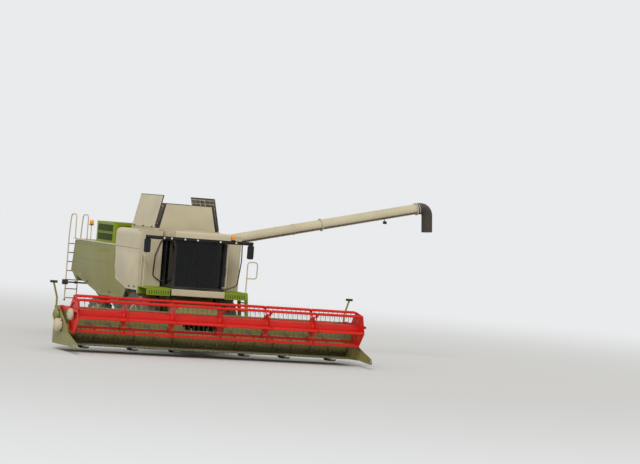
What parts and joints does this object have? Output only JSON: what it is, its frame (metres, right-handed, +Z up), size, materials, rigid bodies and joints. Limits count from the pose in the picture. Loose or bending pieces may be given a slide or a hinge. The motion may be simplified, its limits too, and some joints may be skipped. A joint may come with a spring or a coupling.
{
  "type": "combine harvester",
  "caption": "Self-propelled combine harvester with a wide reel header, glazed cab, open grain tank and a side-swinging unloading auger.",
  "frame": {"origin": "on the ground under the middle of the machine's footprint, with the header on and the unloading auger swung out", "axes": "+Z up, -Y forward, +X to the machine's left"},
  "size_m": [13.4491, 10.9809, 5.1248],
  "materials": {
    "olive_paint": "satin enamel",
    "cream_paint": "satin enamel",
    "lime_paint": "satin enamel",
    "red_paint": "gloss enamel",
    "black_paint": "matt enamel",
    "black_plastic": "textured moulding",
    "tyre_rubber": "moulded rubber",
    "spout_rubber": "moulded rubber",
    "tinted_glass": "tinted",
    "lamp_lens": "clear lens",
    "engine_iron": "painted casting",
    "seat_fabric": "woven"
  },
  "bodies": {
    "chassis": {"threshing_body": "olive_paint", "front_axle": "black_paint", "rear_axle": "black_paint", "engine": "engine_iron", "grain_tank": "cream_paint", "body_cladding": "cream_paint", "radiator_housing": "lime_paint", "rear_hood": "olive_paint", "straw_chopper": "black_paint", "rear_ladder": "cream_paint", "tow_hitch": "black_paint", "cab_body": "black_paint", "cab_roof": "cream_paint", "cab_glass": "tinted_glass", "driver_seat": "seat_fabric", "steering_column": "black_plastic", "visor": "black_plastic", "mirrors": "black_plastic", "lamps": "lamp_lens", "platforms": "lime_paint", "handrails": "cream_paint", "cab_apron": "cream_paint", "tail_lamps": "black_paint"},
    "door": {"cab_door": "black_paint", "door_glass": "tinted_glass"},
    "front_panel_left": {"front_panel_left": "cream_paint"},
    "front_panel_right": {"front_panel_right": "cream_paint"},
    "rear_panel_left": {"rear_panel_left": "olive_paint"},
    "rear_panel_right": {"rear_panel_right": "olive_paint"},
    "tank_lid_left": {"tank_lid_left": "cream_paint"},
    "tank_lid_right": {"tank_lid_right": "cream_paint"},
    "tank_lid_front": {"tank_lid_front": "cream_paint"},
    "tank_lid_rear": {"tank_lid_rear": "cream_paint"},
    "knuckle_left": {"knuckle_left": "black_paint"},
    "knuckle_right": {"knuckle_right": "black_paint"},
    "front_wheel_left": {"front_tyre_left": "tyre_rubber", "front_rim_left": "cream_paint"},
    "front_wheel_right": {"front_tyre_right": "tyre_rubber", "front_rim_right": "cream_paint"},
    "rear_wheel_left": {"rear_tyre_left": "tyre_rubber", "rear_rim_left": "cream_paint"},
    "rear_wheel_right": {"rear_tyre_right": "tyre_rubber", "rear_rim_right": "cream_paint"},
    "unloader": {"unloading_tube": "cream_paint", "unloading_spout": "spout_rubber"},
    "header": {"feeder_house": "olive_paint", "header_frame": "olive_paint", "drive_covers": "cream_paint"},
    "table_auger": {"table_auger": "olive_paint"},
    "reel_arms": {"reel_arms": "red_paint"},
    "reel_carriages": {"reel_carriages": "red_paint"},
    "reel_rotor": {"reel_rotor": "red_paint"},
    "control_ring": {"control_ring": "red_paint"},
    "reel_bat_1": {"reel_bat_1": "red_paint"},
    "reel_bat_2": {"reel_bat_2": "red_paint"},
    "reel_bat_3": {"reel_bat_3": "red_paint"},
    "reel_bat_4": {"reel_bat_4": "red_paint"},
    "reel_bat_5": {"reel_bat_5": "red_paint"},
    "reel_bat_6": {"reel_bat_6": "red_paint"}
  },
  "joints": [
    {"name": "front_wheel_left_spin", "type": "hinge", "parent": "chassis", "child": "front_wheel_left", "pos_m": [-0.6443, -1.12, 0.895], "axis": [1, 0, 0], "continuous": true},
    {"name": "front_wheel_right_spin", "type": "hinge", "parent": "chassis", "child": "front_wheel_right", "pos_m": [-3.1243, -1.12, 0.895], "axis": [1, 0, 0], "continuous": true},
    {"name": "steer_left", "type": "hinge", "parent": "chassis", "child": "knuckle_left", "pos_m": [-0.8643, 2.68, 0.655], "axis": [0, 0, 1], "range_deg": [-35, 35]},
    {"name": "rear_wheel_left_spin", "type": "hinge", "parent": "knuckle_left", "child": "rear_wheel_left", "pos_m": [-0.5043, 2.68, 0.655], "axis": [1, 0, 0], "continuous": true},
    {"name": "steer_right", "type": "hinge", "parent": "chassis", "child": "knuckle_right", "pos_m": [-2.9043, 2.68, 0.655], "axis": [0, 0, 1], "range_deg": [-35, 35]},
    {"name": "rear_wheel_right_spin", "type": "hinge", "parent": "knuckle_right", "child": "rear_wheel_right", "pos_m": [-3.2643, 2.68, 0.655], "axis": [1, 0, 0], "continuous": true},
    {"name": "unloader_swing", "type": "hinge", "parent": "chassis", "child": "unloader", "pos_m": [-0.5643, -0.52, 3.18], "axis": [0, 0, 1], "range_deg": [0, 90]},
    {"name": "cab_door_swing", "type": "hinge", "parent": "chassis", "child": "door", "pos_m": [-1.0503, -1.65, 2.7], "axis": [0, 0, 1], "range_deg": [0, 70]},
    {"name": "front_panel_left_lift", "type": "hinge", "parent": "chassis", "child": "front_panel_left", "pos_m": [-0.2673, -0.42, 3.013], "axis": [0, -1, 0], "range_deg": [0, 85]},
    {"name": "rear_panel_left_lift", "type": "hinge", "parent": "chassis", "child": "rear_panel_left", "pos_m": [-0.2673, 2.88, 3.013], "axis": [0, -1, 0], "range_deg": [0, 85]},
    {"name": "tank_lid_left_fold", "type": "hinge", "parent": "chassis", "child": "tank_lid_left", "pos_m": [-0.8393, -0.03, 3.7203], "axis": [0, -1, 0], "range_deg": [0, 77.5]},
    {"name": "front_panel_right_lift", "type": "hinge", "parent": "chassis", "child": "front_panel_right", "pos_m": [-3.5013, -0.42, 3.013], "axis": [0, 1, 0], "range_deg": [0, 85]},
    {"name": "rear_panel_right_lift", "type": "hinge", "parent": "chassis", "child": "rear_panel_right", "pos_m": [-3.5013, 2.88, 3.013], "axis": [0, 1, 0], "range_deg": [0, 85]},
    {"name": "tank_lid_right_fold", "type": "hinge", "parent": "chassis", "child": "tank_lid_right", "pos_m": [-2.9293, -0.03, 3.7203], "axis": [0, 1, 0], "range_deg": [0, 77.5]},
    {"name": "tank_lid_front_fold", "type": "hinge", "parent": "chassis", "child": "tank_lid_front", "pos_m": [-1.8843, -1.1337, 3.68], "axis": [-1, 0, 0], "range_deg": [0, 90]},
    {"name": "tank_lid_rear_fold", "type": "hinge", "parent": "chassis", "child": "tank_lid_rear", "pos_m": [-1.8843, 1.0737, 3.68], "axis": [1, 0, 0], "range_deg": [0, 90]},
    {"name": "header_lift", "type": "hinge", "parent": "chassis", "child": "header", "pos_m": [-1.8843, -1.42, 1.7], "axis": [-1, 0, 0], "range_deg": [-2.5, 12]},
    {"name": "table_auger_spin", "type": "hinge", "parent": "header", "child": "table_auger", "pos_m": [-1.8843, -3.59, 0.56], "axis": [1, 0, 0], "continuous": true},
    {"name": "reel_lift", "type": "hinge", "parent": "header", "child": "reel_arms", "pos_m": [-1.8843, -3.35, 1.21], "axis": [-1, 0, 0], "range_deg": [-3, 28]},
    {"name": "reel_reach", "type": "slide", "parent": "reel_arms", "child": "reel_carriages", "axis": [0, -1, 0], "range_m": [-0.1, 0.35]},
    {"name": "reel_spin", "type": "hinge", "parent": "reel_carriages", "child": "reel_rotor", "pos_m": [-1.8843, -4.59, 1.13], "axis": [1, 0, 0], "continuous": true},
    {"name": "reel_bat_1_turn", "type": "hinge", "parent": "reel_rotor", "child": "reel_bat_1", "pos_m": [-1.8843, -5.10702, 1.03883], "axis": [1, 0, 0], "continuous": true},
    {"name": "reel_bat_2_turn", "type": "hinge", "parent": "reel_rotor", "child": "reel_bat_2", "pos_m": [-1.8843, -4.92746, 1.53217], "axis": [1, 0, 0], "continuous": true},
    {"name": "reel_bat_3_turn", "type": "hinge", "parent": "reel_rotor", "child": "reel_bat_3", "pos_m": [-1.8843, -4.41044, 1.62334], "axis": [1, 0, 0], "continuous": true},
    {"name": "reel_bat_4_turn", "type": "hinge", "parent": "reel_rotor", "child": "reel_bat_4", "pos_m": [-1.8843, -4.07298, 1.22117], "axis": [1, 0, 0], "continuous": true},
    {"name": "reel_bat_5_turn", "type": "hinge", "parent": "reel_rotor", "child": "reel_bat_5", "pos_m": [-1.8843, -4.25254, 0.72783], "axis": [1, 0, 0], "continuous": true},
    {"name": "reel_bat_6_turn", "type": "hinge", "parent": "reel_rotor", "child": "reel_bat_6", "pos_m": [-1.8843, -4.76956, 0.63666], "axis": [1, 0, 0], "continuous": true},
    {"name": "control_ring_spin", "type": "hinge", "parent": "reel_carriages", "child": "control_ring", "pos_m": [-1.8843, -4.59, 1.06], "axis": [1, 0, 0], "continuous": true}
  ],
  "couplings": [
    {"joint": "steer_right", "follows": "steer_left", "ratio": 1},
    {"joint": "reel_bat_1_turn", "follows": "reel_spin", "ratio": -1},
    {"joint": "reel_bat_2_turn", "follows": "reel_spin", "ratio": -1},
    {"joint": "reel_bat_3_turn", "follows": "reel_spin", "ratio": -1},
    {"joint": "reel_bat_4_turn", "follows": "reel_spin", "ratio": -1},
    {"joint": "reel_bat_5_turn", "follows": "reel_spin", "ratio": -1},
    {"joint": "reel_bat_6_turn", "follows": "reel_spin", "ratio": -1},
    {"joint": "control_ring_spin", "follows": "reel_spin", "ratio": 1}
  ]
}
